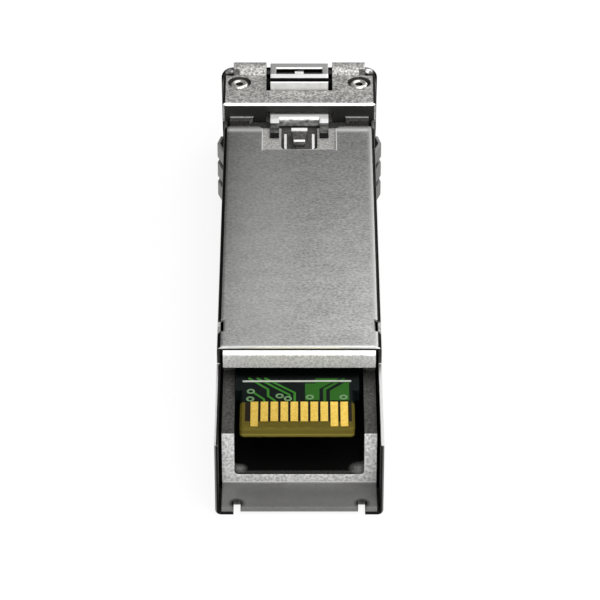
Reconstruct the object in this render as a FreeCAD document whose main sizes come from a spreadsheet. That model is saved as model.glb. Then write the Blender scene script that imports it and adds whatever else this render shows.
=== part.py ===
import FreeCAD, Part
import math
import os
from types import SimpleNamespace

import Sketcher
from FreeCAD import Placement, Rotation, Vector

# Small pluggable optical transceiver, lying with its latch side up.
# X runs across the module, Y from the card-edge end to the nose, Z up.
# Lengths along Y are measured from the rear end; the finished pieces are then shifted back by half
# the module's length, so that the origin lies under its middle. All sizes are in millimetres.

SIZES = {
    # Whole module
    "module_length": 56.5,     # rear end to the front of the closed bail
    "body_height": 8.5,        # underside of the cover's flanges to its top face
    "slip": 0.05,              # clearance between pieces that lie or slide on each other
    # Folded sheet cover
    "cover_width": 13.4,
    "sheet": 0.25,
    "bend_radius": 0.5,        # outside of the folds
    "flange_width": 1.45,      # inward flanges under the tray
    "cover_setback": 0.35,     # near edge of the cover's top, behind the face of the shoulder bar
    "skirt_drop": 1.65,        # sides beside the rear opening, below the cover's top face
    "top_gap": 2.15,           # far edge of the cover's top, before the nose
    "side_gap": 0.2,           # far edge of the cover's sides, before the nose
    "side_drop": 0.55,         # sides past the top stop this far below it
    "cutout_width": 6.45,      # latch cut-out
    "cutout_length": 6.1,      # near edge of the cut-out, before the nose
    "cutout_flare": 0.4,
    "relief_setback": 2.25,    # slots in the two top folds
    "relief_length": 1.75,
    "relief_width": 0.6,
    "finger_setback": 1.4,     # tips of the spring fingers lanced out of the sides, before the nose
    "finger_length": 2.9,
    "finger_low": 1.6,         # underside of the lowest finger
    "finger_drop": 2.9,        # underside of the highest finger, below the cover's top face
    "finger_web": 0.6,         # between neighbouring fingers
    "finger_bow": 0.6,         # peak outside the wall
    "finger_peak": 1.74,       # root to peak
    "finger_lift": 0.3,        # tip outside the wall
    "finger_play": 0.12,       # slit round each finger
    # Die-cast tray
    "cover_gap": 0.25,         # between the castings and the cover's sides
    "tray_wall": 1.0,
    "tray_floor": 1.3,
    "wall_drop": 2.85,         # tops of the walls, below the cover's top face
    "tray_end": 3.15,          # vertical rear end face
    "tongue_thickness": 0.45,
    "notch_width": 0.56,
    "notch_depth": 0.9,
    "corner_round": 0.35,
    "saddle_length": 1.0,      # props under the bail's axle
    "saddle_inset": 0.1,
    "post_width": 0.9,         # board posts along the walls
    "post_length": 2.5,
    "post_near_y": 14.0,
    "post_setback": 5.0,       # far posts, before the board's far edge
    # Die-cast lid on the latch side
    "lid_wall": 0.9,
    "roof": 1.0,
    "shoulder_y": 10.8,        # face of the shoulder bar
    "shoulder_drop": 1.85,     # lower edge of the bar, below the cover's top face
    "shoulder_thickness": 1.3,
    "shoulder_chamfer": 0.27,
    "groove_setback": 2.0,     # cross groove before the nose
    "groove_width": 1.4,
    "ledge_width": 8.2,        # gap between the two ledges at the foot of the nose
    "ledge_slant": 0.4,
    "pocket_width": 3.2,       # pocket round the latch boss
    "pocket_length": 2.6,      # near end of the pocket, before the boss's locking face
    "boss_base_width": 2.7,
    "boss_base_height": 0.4,
    "boss_width": 1.42,
    "boss_tail_width": 0.86,
    "boss_setback": 2.9,       # locking face of the boss, before the nose
    "boss_length": 2.1,
    "boss_crest": 0.4,
    "boss_rise": 0.3,          # crest above the cover's top face
    # Nose
    "bail_gap": 0.2,           # between the nose and the closed bail's crossbar
    "nose_length": 7.8,        # stop face to front
    "nose_overhang": 0.15,     # stop face beyond the cover's sides
    "nose_rise": 1.0,          # top above the cover's top face
    "front_step": 2.8,         # length of the narrow front beside the bail
    "front_inset": 0.92,
    "parting_drop": 0.9,       # parting face, below the cover's top face
    "nose_chamfer": 0.25,
    "slot_play": 0.375,        # beside the actuator, in its channel
    "slot_length": 3.6,        # open front slot, behind the axle
    "bridge": 0.8,             # metal over the channel
    "knuckle_radius": 0.95,
    # Optical ports
    "port_size": 4.6,
    "port_side": 0.505,        # wall beside a port
    "port_z": 4.0,
    "port_wall": 0.4,          # behind the ports
    "key_width": 3.0,          # slot for the plug's latch
    "key_depth": 0.55,
    "key_length": 4.0,
    # Screws in the nose
    "screw_margin": 1.46,      # screw axis to the side of the nose
    "screw_setback": 2.2,      # screw axis behind the bail's axle
    "screw_head": 1.9,
    "screw_seat": 2.1,
    "screw_seat_depth": 0.5,
    "screw_shank": 1.0,
    "screw_hole": 1.2,         # through the lid
    "screw_depth": 1.1,        # thread in the tray
    "screw_socket": 0.8,
    "screw_web": 0.2,          # metal under the socket
    # Circuit board
    "board_thickness": 1.0,
    "board_headroom": 0.95,    # above the board, under the lid's roof
    "board_side": 0.2,         # beside the board, inside the tray
    "board_offset": -0.16,
    "board_end": 3.1,
    "tongue_step": 0.4,        # contact tongue narrower than the board, on each side
    "tongue_length": 5.14,
    "board_gap": 2.3,          # far edge of the board, before the cans
    "board_bevel": 0.18,
    "contact_count": 10,
    "contact_pitch": 0.8,
    "contact_width": 0.6,
    "contact_thickness": 0.04,
    "contact_margin": 0.92,    # bare board before the short pads
    "ground_margin": 0.24,     # bare board before the long pads
    "contact_reach": 3.56,     # board's end to the far ends of the pads
    # Chips and passives, placed back from the board's far edge
    "driver_size": 4.0,
    "driver_x": -2.5,
    "driver_setback": 10.0,
    "amplifier_size": 3.0,
    "amplifier_x": 2.5,
    "amplifier_setback": 9.5,
    "chip_height": 0.8,
    "memory_width": 4.4,
    "memory_length": 3.0,
    "memory_height": 1.0,
    "memory_setback": 18.0,
    "capacitor_columns": 5,
    "capacitor_length": 1.0,
    "capacitor_width": 0.5,
    "capacitor_pitch": 1.5,
    "capacitor_near_y": 14.5,
    "capacitor_setback": 13.5,
    # Optical subassemblies
    "can_length": 3.6,
    "can_header": 0.6,
    "can_side": 0.075,         # beside the widest turned part, inside the tray
    "can_radius": 1.7,
    "barrel_neck": 2.1,
    "barrel_neck_radius": 1.5,
    "flange_setback": 3.5,     # barrel's flange, before the nose
    "barrel_flange": 1.0,
    "barrel_tube_radius": 1.25,
    "taper_setback": 0.6,
    "barrel_taper": 0.5,
    "barrel_play": 0.1,        # round the tube, in the nose
    "barrel_reach": 3.6,       # tube inside the port
    "sleeve_wall": 0.2,
    "sleeve_length": 4.6,
    "sleeve_inset": 0.1,       # behind the barrel's rim
    "ferrule_bore": 1.253,
    "flex_width": 3.0,
    "flex_thickness": 0.15,
    "flex_lap": 1.5,           # on the board
    "flex_low": 2.6,
    "clamp_setback": 0.6,      # clamp on the barrel's neck
    "clamp_thickness": 0.8,
    "clamp_side": 0.1,
    "clamp_headroom": 0.3,
    # Bail
    "wire": 1.0,
    "axle_setback": 1.8,       # axle behind the front of the nose
    "axle_drop": 0.3,          # axle below the top of the nose
    "axle_play": 0.05,
    "leg_gap": 0.14,           # between the nose's narrow front and the legs
    "crossbar_lift": 0.05,     # under the closed bail's crossbar
    "bail_top_bend": 0.6,
    "bail_low_bend": 1.4,
    "cam_thickness": 0.8,
    "cam_play": 0.01,
    "cam_radius": 0.75,
    "cam_arm": 1.1,
    "cam_arm_width": 0.4,
    "cam_tip_radius": 0.3,
    "cam_angle": -45.0,        # arm's lean at rest, down and towards the rear
    # Latch actuator
    "actuator_width": 5.2,
    "plate_clear": 0.15,       # under the plate
    "plate_thickness": 0.6,
    "plate_reach": 0.5,        # plate past the axle
    "bar_length": 0.9,         # crossbar between the tines, before the nose
    "bar_rise": 0.1,           # above the cover's top face
    "bar_round": 0.3,
    "tine_width": 0.8,
    "tine_length": 2.8,
    "tine_flat": 0.8,
    "tine_tip_height": 0.15,
    "frame_play": 0.1,         # frame in the front slot
    "frame_clear": 0.07,       # frame over the cam
    "frame_setback": 0.2,      # front edge of the frame, behind the axle
    "frame_thickness": 0.28,
    "lip": 0.22,
    "frame_groove": 0.4,
    "frame_groove_depth": 1.0,
    "frame_wall": 0.48,
    "window_width": 4.16,
    "window_margin": 0.36,     # frame's wall to the window
    "window_length": 1.02,
    "cam_slot_width": 1.2,
    "cam_slot_length": 0.9,
}


class Size:
    """A length with its number and the sheet expression that gives it."""

    def __init__(self, value, text):
        self.value = value
        self.text = text

    def __add__(self, other):
        other = size(other)
        return Size(self.value + other.value, f"({self.text} + {other.text})")

    def __sub__(self, other):
        other = size(other)
        return Size(self.value - other.value, f"({self.text} - {other.text})")

    def __mul__(self, other):
        other = size(other)
        return Size(self.value * other.value, f"({self.text} * {other.text})")

    def __truediv__(self, other):
        other = size(other)
        return Size(self.value / other.value, f"({self.text} / {other.text})")

    def __radd__(self, other):
        return size(other) + self

    def __rsub__(self, other):
        return size(other) - self

    def __rmul__(self, other):
        return size(other) * self

    def __neg__(self):
        return Size(-self.value, f"(-{self.text})")


def size(number):
    """Turn a plain number into a Size; a Size stays as it is."""
    return number if isinstance(number, Size) else Size(float(number), str(float(number)))


def diagonal(a, b):
    return Size(math.hypot(a.value, b.value), f"sqrt({a.text}^2 + {b.text}^2)")


def slope(rise, run):
    angle = math.degrees(math.atan2(rise.value, run.value))
    return Size(angle, f"atan2({rise.text}; {run.text})")


doc = FreeCAD.newDocument("sfp_transceiver")
sheet = doc.addObject("Spreadsheet::Sheet", "Sizes")
for row, (alias, number) in enumerate(SIZES.items(), start=1):
    sheet.set(f"A{row}", alias)
    sheet.set(f"B{row}", str(number))
    sheet.setAlias(f"B{row}", alias)
doc.recompute()
S = SimpleNamespace(**{alias: Size(number, f"Sizes.{alias}") for alias, number in SIZES.items()})

PAST = size(1.0)                                   # how far a cut runs past the face it opens
shift_y = -S.module_length / 2

# Places along the module, from the nose back
wire_radius = S.wire / 2
crossbar_y = S.module_length - wire_radius
nose_front = S.module_length - S.wire - S.bail_gap
nose_y = nose_front - S.nose_length
nose_step_y = nose_front - S.front_step
axle_y = nose_front - S.axle_setback
screw_y = axle_y - S.screw_setback
slot_y = axle_y - S.slot_length
port_back = nose_y + S.port_wall
groove_y = nose_y - S.groove_setback
boss_y = nose_y - S.boss_setback
barrel_flange_y = nose_y - S.flange_setback
barrel_back = barrel_flange_y - S.barrel_neck
can_back = barrel_back - S.can_length
board_far_y = can_back - S.board_gap
opening_y = S.shoulder_y + S.cover_setback

# Half widths
cover_half = S.cover_width / 2
lip_x = cover_half - S.flange_width
tray_half = cover_half - S.sheet - S.cover_gap
tray_inner = tray_half - S.tray_wall
nose_half = cover_half + S.nose_overhang
front_half = nose_half - S.front_inset
screw_x = nose_half - S.screw_margin
port_x = front_half - S.port_side - S.port_size / 2
actuator_half = S.actuator_width / 2
slot_half = actuator_half + S.slot_play
flange_radius = tray_inner - port_x - S.can_side

# Heights
tray_bottom = S.sheet + S.slip
floor_top = tray_bottom + S.tray_floor
wall_top = S.body_height - S.wall_drop
lid_top = S.body_height - S.sheet - S.slip
lid_bottom = wall_top + S.slip
roof_under = lid_top - S.roof
shoulder_low = S.body_height - S.shoulder_drop
board_top = roof_under - S.board_headroom
board_bottom = board_top - S.board_thickness
chip_top = board_top + S.chip_height
parting_z = S.body_height - S.parting_drop
nose_seat = parting_z + S.slip
nose_top = S.body_height + S.nose_rise
axle_z = nose_top - S.axle_drop
plate_low = parting_z + S.plate_clear
plate_top = plate_low + S.plate_thickness

# Turned and bent pieces
axle_hole = wire_radius + S.axle_play
sleeve_radius = S.ferrule_bore / 2 + S.sleeve_wall
leg_forward = crossbar_y - axle_y
leg_down = axle_z - wire_radius - S.crossbar_lift


def bind(thing, name, value):
    thing.setExpression(name, size(value).text)


def new_body(label):
    body = doc.addObject("PartDesign::Body", label)
    body.Label = label
    return body


def sketch_on(body, name, plane, at):
    """Sketch on one of the body's own planes, moved to a coordinate along that plane's axis."""
    sketch = body.newObject("Sketcher::SketchObject", name + "_sketch")
    support = [feature for feature in body.Origin.OriginFeatures if feature.Role == plane + "_Plane"]
    sketch.AttachmentSupport = [(support[0], "")]
    sketch.MapMode = "FlatFace"
    bind(sketch, "AttachmentOffset.Base.z", -size(at) if plane == "XZ" else at)
    return sketch


def fix(sketch, kind, geometry, point, value):
    """Hold a point's distance from the sketch's origin to a size."""
    index = sketch.addConstraint(
        Sketcher.Constraint(kind, -1, 1, geometry, point, value.value))
    bind(sketch, f"Constraints[{index}]", value)


def fix_point(sketch, geometry, point, place):
    fix(sketch, "DistanceX", geometry, point, place[0])
    fix(sketch, "DistanceY", geometry, point, place[1])


def fix_radius(sketch, geometry, radius):
    index = sketch.addConstraint(Sketcher.Constraint("Radius", geometry, radius.value))
    bind(sketch, f"Constraints[{index}]", radius)


def vector(place):
    return Vector(place[0].value, place[1].value, 0)


def step(start, end):
    """Direction of a run along one axis, as -1, 0 or 1 for each coordinate."""
    return [(b.value > a.value + 1e-9) - (b.value < a.value - 1e-9) for a, b in zip(start, end)]


def move(place, direction, length):
    moved = []
    for coordinate, sign in zip(place, direction):
        moved.append(coordinate if sign == 0 else coordinate + length * sign)
    return moved


def round_corner(sketch, centre, radius, entry, leave):
    """Arc between two tangent points, drawn anticlockwise as the sketcher wants it."""
    middle = vector(centre)
    first, last = vector(entry) - middle, vector(leave) - middle
    turned = first.x * last.y - first.y * last.x < 0
    start, end = (last, first) if turned else (first, last)
    angles = [math.atan2(spoke.y, spoke.x) for spoke in (start, end)]
    if angles[1] < angles[0]:
        angles[1] += 2 * math.pi
    circle = Part.Circle(middle, Vector(0, 0, 1), radius.value)
    arc = sketch.addGeometry(Part.ArcOfCircle(circle, *angles))
    fix_radius(sketch, arc, radius)
    return arc, (2, 1) if turned else (1, 2)


def draw(sketch, corners, closed=True):
    """Straight edges through the corners; a corner with a third value is rounded by that radius."""
    places = [[size(value) for value in corner] for corner in corners]
    ends = []
    for index, place in enumerate(places):
        spot = place[:2]
        if len(place) == 2:
            ends.append((spot, spot, None, None))
            continue
        radius = place[2]
        incoming = step(places[index - 1][:2], spot)
        outgoing = step(spot, places[(index + 1) % len(places)][:2])
        entry = move(spot, incoming, -radius)
        leave = move(spot, outgoing, radius)
        ends.append((entry, leave, radius, move(entry, outgoing, radius)))
    lines = []
    count = len(places) if closed else len(places) - 1
    for index in range(count):
        start, end = ends[index][1], ends[(index + 1) % len(places)][0]
        line = sketch.addGeometry(Part.LineSegment(vector(start), vector(end)))
        lines.append(line)
        fix_point(sketch, line, 1, start)
        if ends[(index + 1) % len(places)][2] is not None or (not closed and index == count - 1):
            fix_point(sketch, line, 2, end)
    for index, (entry, leave, radius, centre) in enumerate(ends):
        if not closed and index in (0, len(places) - 1):
            continue
        before, after = lines[index - 1], lines[index]
        if radius is None:
            sketch.addConstraint(Sketcher.Constraint("Coincident", before, 2, after, 1))
        else:
            arc, (near, far) = round_corner(sketch, centre, radius, entry, leave)
            sketch.addConstraint(Sketcher.Constraint("Coincident", before, 2, arc, near))
            sketch.addConstraint(Sketcher.Constraint("Coincident", after, 1, arc, far))


def draw_circle(sketch, place, radius):
    place = [size(value) for value in place]
    radius = size(radius)
    circle = sketch.addGeometry(Part.Circle(vector(place), Vector(0, 0, 1), radius.value))
    fix_point(sketch, circle, 3, place)
    fix_radius(sketch, circle, radius)


def rectangle(u0, v0, u1, v1, radius=None):
    corners = [(u0, v0), (u1, v0), (u1, v1), (u0, v1)]
    return corners if radius is None else [(*corner, radius) for corner in corners]


def extrude(body, name, plane, start, end, loops=(), circles=(), cut=False):
    """Pad, or pocket, the drawn loops and circles from one coordinate to another."""
    start, end = size(start), size(end)
    sketch = sketch_on(body, name, plane, start)
    for loop in loops:
        draw(sketch, loop)
    for place, radius in circles:
        draw_circle(sketch, place, radius)
    before = body.Shape.Volume if body.Tip else 0.0
    feature = body.newObject("PartDesign::Pocket" if cut else "PartDesign::Pad", name)
    feature.Profile = sketch
    feature.Reversed = cut != (plane == "XZ")
    bind(feature, "Length", end - start)
    doc.recompute()
    grown = body.Shape.Volume - before
    if (grown >= 0) == cut:
        raise RuntimeError(f"{body.Label}: {name} changes nothing")


def revolve(body, name, corners):
    """Turn a half section, drawn as distance along Y and radius, round the Y axis."""
    sketch = sketch_on(body, name, "YZ", 0)
    draw(sketch, corners)
    feature = body.newObject("PartDesign::Revolution", name)
    feature.Profile = sketch
    feature.ReferenceAxis = (sketch, ["H_Axis"])
    feature.Angle = 360
    doc.recompute()


def edges_at(shape, **where):
    """Names of the straight edges that lie at these coordinates, X on either side."""
    names = []
    for index, edge in enumerate(shape.Edges, start=1):
        held = isinstance(edge.Curve, Part.Line)
        for axis, place in where.items():
            seen = [getattr(vertex.Point, axis) for vertex in edge.Vertexes]
            level = max(seen) - min(seen) < 1e-5
            held = held and level and abs(abs(seen[0]) - place.value) < 1e-5
        if held:
            names.append(f"Edge{index}")
    return names


def dress(body, kind, name, amount, **where):
    """Fillet or chamfer the straight edges at the given coordinates."""
    base = body.Tip
    names = edges_at(base.Shape, **where)
    if not names:
        raise RuntimeError(f"{body.Label}: {name} finds no edge")
    feature = body.newObject("PartDesign::" + kind, name)
    feature.Base = (base, names)
    bind(feature, "Radius" if kind == "Fillet" else "Size", amount)
    doc.recompute()


def box(label, x, y, z, length, width, height):
    """Plain block with its low corner at x, y, z."""
    block = doc.addObject("Part::Box", label)
    block.Label = label
    for name, value in (("Length", length), ("Width", width), ("Height", height)):
        bind(block, name, value)
    for axis, value in (("x", x), ("y", y), ("z", z)):
        bind(block, "Placement.Base." + axis, value)
    return block


def group(label, pieces):
    """One node that holds several like pieces as separate solids."""
    compound = doc.addObject("Part::Compound", label)
    compound.Label = label
    compound.Links = pieces
    return compound


def make_cover():
    """Sheet folded round the castings: top, two sides, two inward flanges and six lanced fingers."""
    body = new_body("sheet_cover")
    inner_bend = S.bend_radius - S.sheet
    side_in = cover_half - S.sheet
    top_in = S.body_height - S.sheet
    side_end = nose_y - S.side_gap
    extrude(body, "wrap", "XZ", 0, side_end, [[
        (-lip_x, 0), (-cover_half, 0, S.bend_radius), (-cover_half, S.body_height, S.bend_radius),
        (cover_half, S.body_height, S.bend_radius), (cover_half, 0, S.bend_radius), (lip_x, 0),
        (lip_x, S.sheet), (side_in, S.sheet, inner_bend), (side_in, top_in, inner_bend),
        (-side_in, top_in, inner_bend), (-side_in, S.sheet, inner_bend), (-lip_x, S.sheet)]])
    wide = cover_half + PAST
    above = S.body_height + PAST
    extrude(body, "rear_opening", "YZ", -wide, wide,
            [rectangle(-PAST, S.body_height - S.skirt_drop, opening_y, above)], cut=True)
    cover_end = nose_y - S.top_gap
    extrude(body, "top_end", "YZ", -wide, wide,
            [rectangle(cover_end, S.body_height - S.side_drop, side_end + PAST, above)], cut=True)
    half = S.cutout_width / 2
    flared = half + S.cutout_flare
    flare_y = cover_end - S.cutout_flare
    cutout_y = nose_y - S.cutout_length
    beyond = cover_end + PAST
    extrude(body, "latch_cutout", "XY", top_in - S.sheet, above, [[
        (-half, cutout_y), (half, cutout_y), (half, flare_y), (flared, cover_end), (flared, beyond),
        (-flared, beyond), (-flared, cover_end), (-half, flare_y)]], cut=True)
    relief_in = cover_half - S.relief_width
    relief_y = opening_y + S.relief_setback
    relief_end = relief_y + S.relief_length
    extrude(body, "bend_reliefs", "XY", S.body_height - S.relief_width, above,
            [rectangle(relief_in, relief_y, wide, relief_end),
             rectangle(-wide, relief_y, -relief_in, relief_end)], cut=True)
    rows = 3
    pitch = (S.body_height - S.finger_drop - S.finger_low) / (rows - 1)
    height = pitch - S.finger_web
    lows = [S.finger_low + pitch * index for index in range(rows)]
    play = S.finger_play
    tip_y = nose_y - S.finger_setback
    root_y = tip_y - S.finger_length
    extrude(body, "finger_windows", "YZ", -wide, wide,
            [rectangle(root_y, low - play, tip_y + play, low + height + play) for low in lows], cut=True)
    peak_y = root_y + S.finger_peak
    anchor = root_y - S.sheet
    for index, low in enumerate(lows):
        loops = []
        for side in (1, -1):
            outer, inner = cover_half * side, side_in * side
            bow, tip = S.finger_bow * side, S.finger_lift * side
            loops.append([(inner, anchor), (inner, root_y), (inner + bow, peak_y), (inner + tip, tip_y),
                          (outer + tip, tip_y), (outer + bow, peak_y), (outer, root_y), (outer, anchor)])
        extrude(body, f"fingers_{index + 1}", "XY", low, low + height, loops)
    return body


def nose_plan(front):
    """Plan of the nose: full width at the stop face, narrower beside the bail's legs."""
    return [(-nose_half, nose_y), (nose_half, nose_y), (nose_half, nose_step_y),
            (front_half, nose_step_y), (front_half, front), (-front_half, front),
            (-front_half, nose_step_y), (-nose_half, nose_step_y)]


def make_tray():
    """Die-cast tray: floor and two walls, a thin rear tongue, board posts and the port block."""
    body = new_body("tray_housing")
    inner = tray_inner
    extrude(body, "channel", "XZ", S.tray_end, nose_y, [[
        (-tray_half, tray_bottom, S.corner_round), (tray_half, tray_bottom, S.corner_round),
        (tray_half, wall_top), (inner, wall_top), (inner, floor_top, S.corner_round),
        (-inner, floor_top, S.corner_round), (-inner, wall_top), (-tray_half, wall_top)]])
    notch_out = lip_x
    notch_in = notch_out - S.notch_width
    root = S.tray_end + S.tray_wall
    foot = tray_half - S.corner_round
    extrude(body, "tongue", "XY", tray_bottom, tray_bottom + S.tongue_thickness, [[
        (-foot, root), (-foot, S.tray_end), (-tray_half, S.tray_end), (-tray_half, 0),
        (-notch_out, 0), (-notch_out, S.notch_depth), (-notch_in, S.notch_depth), (-notch_in, 0),
        (notch_in, 0), (notch_in, S.notch_depth), (notch_out, S.notch_depth), (notch_out, 0),
        (tray_half, 0), (tray_half, S.tray_end), (foot, S.tray_end), (foot, root)]])
    extrude(body, "nose", "XY", 0, parting_z, [nose_plan(nose_front)])
    past_front = nose_front + PAST
    half = S.port_size / 2
    port_low = S.port_z - half
    extrude(body, "ports", "XZ", port_back, past_front,
            [rectangle(x - half, port_low, x + half, S.port_z + half, S.corner_round)
             for x in (-port_x, port_x)], cut=True)
    key = S.key_width / 2
    extrude(body, "plug_keys", "XZ", nose_front - S.key_length, past_front,
            [rectangle(x - key, port_low - S.key_depth, x + key, S.port_z) for x in (-port_x, port_x)],
            cut=True)
    tube_hole = S.barrel_tube_radius + S.barrel_play
    extrude(body, "barrel_holes", "XZ", nose_y - PAST, port_back + PAST,
            circles=[((x, S.port_z), tube_hole) for x in (-port_x, port_x)], cut=True)
    posts = []
    for near in (S.post_near_y, board_far_y - S.post_setback):
        far = near + S.post_length
        posts.append(rectangle(inner - S.post_width, near, inner + S.slip, far))
        posts.append(rectangle(-inner - S.slip, near, S.post_width - inner, far))
    extrude(body, "board_posts", "XY", floor_top - S.slip, board_bottom, posts)
    saddle_in, saddle_out = slot_half + S.saddle_inset, front_half - S.saddle_inset
    near, far = axle_y - S.saddle_length / 2, axle_y + S.saddle_length / 2
    extrude(body, "saddles", "XY", parting_z - S.slip, axle_z - axle_hole,
            [rectangle(saddle_in, near, saddle_out, far), rectangle(-saddle_out, near, -saddle_in, far)])
    extrude(body, "screw_threads", "XY", parting_z - S.screw_depth - S.slip, parting_z + S.slip,
            circles=[((x, screw_y), S.screw_shank / 2 + S.slip) for x in (-screw_x, screw_x)],
            cut=True)
    dress(body, "Fillet", "nose_rounds", S.corner_round, x=nose_half, z=size(0))
    return body


def make_lid():
    """Die-cast lid on the latch side: shoulder bar, latch boss in its pocket, bridge and knuckles."""
    body = new_body("latch_housing")
    inner = tray_half - S.lid_wall
    extrude(body, "lid", "XZ", S.shoulder_y, nose_y, [[
        (-tray_half, lid_bottom), (-tray_half, lid_top), (tray_half, lid_top), (tray_half, lid_bottom),
        (inner, lid_bottom), (inner, roof_under), (-inner, roof_under), (-inner, lid_bottom)]])
    shoulder_back = S.shoulder_y + S.shoulder_thickness
    extrude(body, "shoulder_bar", "XZ", S.shoulder_y, shoulder_back,
            [rectangle(-inner - S.slip, shoulder_low, inner + S.slip, roof_under + S.slip)])
    wide = nose_half + PAST
    extrude(body, "side_setback", "YZ", -wide, wide,
            [rectangle(S.shoulder_y - PAST, lid_bottom - PAST, shoulder_back, shoulder_low)], cut=True)
    extrude(body, "nose", "XY", nose_seat, nose_top, [nose_plan(axle_y)])
    spans = ((slot_half, front_half), (-front_half, -slot_half))
    for name, (start, end) in zip(("right", "left"), spans):
        extrude(body, f"knuckle_{name}", "YZ", start, end, circles=[((axle_y, axle_z), S.knuckle_radius)])
        extrude(body, f"knuckle_foot_{name}", "YZ", start, end,
                [rectangle(axle_y - S.knuckle_radius, nose_seat, axle_y + S.knuckle_radius, axle_z)])
    above = axle_z + S.knuckle_radius + PAST
    channel_top = nose_top - S.bridge
    past_front = nose_front + PAST
    extrude(body, "channel", "XZ", groove_y, past_front,
            [rectangle(-slot_half, parting_z, slot_half, channel_top)], cut=True)
    extrude(body, "front_slot", "XZ", slot_y, past_front,
            [rectangle(-slot_half, channel_top - S.slip, slot_half, above)], cut=True)
    groove_end = groove_y + S.groove_width
    extrude(body, "cross_groove", "YZ", -wide, wide,
            [rectangle(groove_y, parting_z, groove_end, lid_top + PAST)], cut=True)
    ledge = S.ledge_width / 2
    extrude(body, "ledge_gap", "XY", parting_z, lid_top + S.slip, [[
        (-ledge - S.ledge_slant, groove_end - S.slip), (ledge + S.ledge_slant, groove_end - S.slip),
        (ledge, nose_y), (-ledge, nose_y)]], cut=True)
    pocket = S.pocket_width / 2
    pocket_y = boss_y - S.pocket_length
    extrude(body, "boss_pocket", "XY", parting_z, lid_top + PAST, [[
        (-pocket, pocket_y, S.corner_round), (pocket, pocket_y, S.corner_round),
        (pocket, groove_y + S.slip), (-pocket, groove_y + S.slip)]], cut=True)
    base = S.boss_base_width / 2
    margin = pocket - base
    base_top = parting_z + S.boss_base_height
    base_near = pocket_y + margin
    extrude(body, "boss_base", "XY", parting_z - S.slip, base_top, [[
        (-base, base_near, S.corner_round), (base, base_near, S.corner_round),
        (base, boss_y + margin), (-base, boss_y + margin)]])
    crest_z = S.body_height + S.boss_rise
    boss = S.boss_width / 2
    tail_y = boss_y - S.boss_length
    extrude(body, "boss", "YZ", -boss, boss, [[
        (tail_y, base_top - S.slip), (boss_y, base_top - S.slip), (boss_y, crest_z),
        (boss_y - S.boss_crest, crest_z), (tail_y, base_top + S.boss_crest)]])
    tail = S.boss_tail_width / 2
    flank_y = boss_y - S.boss_crest
    extrude(body, "boss_flanks", "XY", base_top, crest_z + PAST, [
        [(side * tail, tail_y - S.slip), (side * base, tail_y - S.slip), (side * base, flank_y),
         (side * boss, flank_y)] for side in (1, -1)], cut=True)
    screws = [(screw_x * side, screw_y) for side in (1, -1)]
    extrude(body, "screw_seats", "XY", nose_top - S.screw_seat_depth, nose_top + PAST,
            circles=[(place, S.screw_seat / 2) for place in screws], cut=True)
    extrude(body, "screw_holes", "XY", nose_seat - S.slip, nose_top,
            circles=[(place, S.screw_hole / 2) for place in screws], cut=True)
    extrude(body, "axle_slots", "YZ", -wide, wide,
            [rectangle(axle_y - axle_hole, nose_seat - S.slip, axle_y + axle_hole, axle_z)], cut=True)
    extrude(body, "axle_bearings", "YZ", -wide, wide, circles=[((axle_y, axle_z), axle_hole)], cut=True)
    dress(body, "Chamfer", "shoulder_edge", S.shoulder_chamfer, y=S.shoulder_y, z=lid_top)
    dress(body, "Fillet", "nose_sides", S.nose_chamfer, x=nose_half, z=nose_top)
    dress(body, "Chamfer", "nose_edge", S.nose_chamfer, y=nose_y, z=nose_top)
    return body


def make_actuator():
    """Latch slide: plate under the bridge, window frame in the nose, crossbar and two tines behind."""
    body = new_body("latch_actuator")
    half = actuator_half
    bar_y = nose_y - S.bar_length
    bar_top = S.body_height + S.bar_rise
    extrude(body, "plate", "XY", plate_low, plate_top,
            [rectangle(-half, bar_y + S.bar_round, half, axle_y + S.plate_reach)])
    extrude(body, "crossbar", "YZ", -half, half, [[
        (bar_y, plate_low), (nose_y, plate_low), (nose_y, bar_top, S.bar_round),
        (bar_y, bar_top, S.bar_round)]])
    tine_low = lid_top + S.slip
    tip = tine_low + S.tine_tip_height
    tine_in = half - S.tine_width
    tine_end = bar_y - S.tine_length
    tine_root = nose_y - S.bar_round
    for name, start, end in (("right", tine_in, half), ("left", -half, -tine_in)):
        extrude(body, f"tine_{name}", "YZ", start, end, [[
            (tine_end, tine_low), (tine_root, tine_low), (tine_root, bar_top),
            (bar_y - S.tine_flat, bar_top), (tine_end, tip)]])
    frame_y = slot_y + S.frame_play
    frame_front = axle_y - S.frame_setback
    groove_near = frame_y + S.lip
    groove_far = groove_near + S.frame_groove
    wall_far = groove_far + S.frame_wall
    frame_low = axle_z + S.cam_radius + S.frame_clear
    frame_top = frame_low + S.frame_thickness
    groove_low = frame_top - S.frame_groove_depth
    extrude(body, "frame", "YZ", -half, half, [[
        (frame_y, plate_top - S.slip), (frame_y, frame_top), (groove_near, frame_top),
        (groove_near, groove_low), (groove_far, groove_low), (groove_far, frame_top),
        (frame_front, frame_top), (frame_front, frame_low), (wall_far, frame_low),
        (wall_far, plate_top - S.slip)]])
    window = S.window_width / 2
    window_y = wall_far + S.window_margin
    extrude(body, "window", "XY", frame_low - S.slip, frame_top + PAST,
            [rectangle(-window, window_y, window, window_y + S.window_length)], cut=True)
    lean = math.radians(SIZES["cam_angle"])
    cam_y = axle_y + S.cam_arm * Size(math.sin(lean), f"sin({S.cam_angle.text} * 1 deg)")
    slot = S.cam_slot_length / 2
    side = S.cam_slot_width / 2
    extrude(body, "cam_slot", "XY", plate_low - PAST, plate_top + S.slip,
            [rectangle(-side, cam_y - slot, side, cam_y + slot)], cut=True)
    return body


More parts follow.
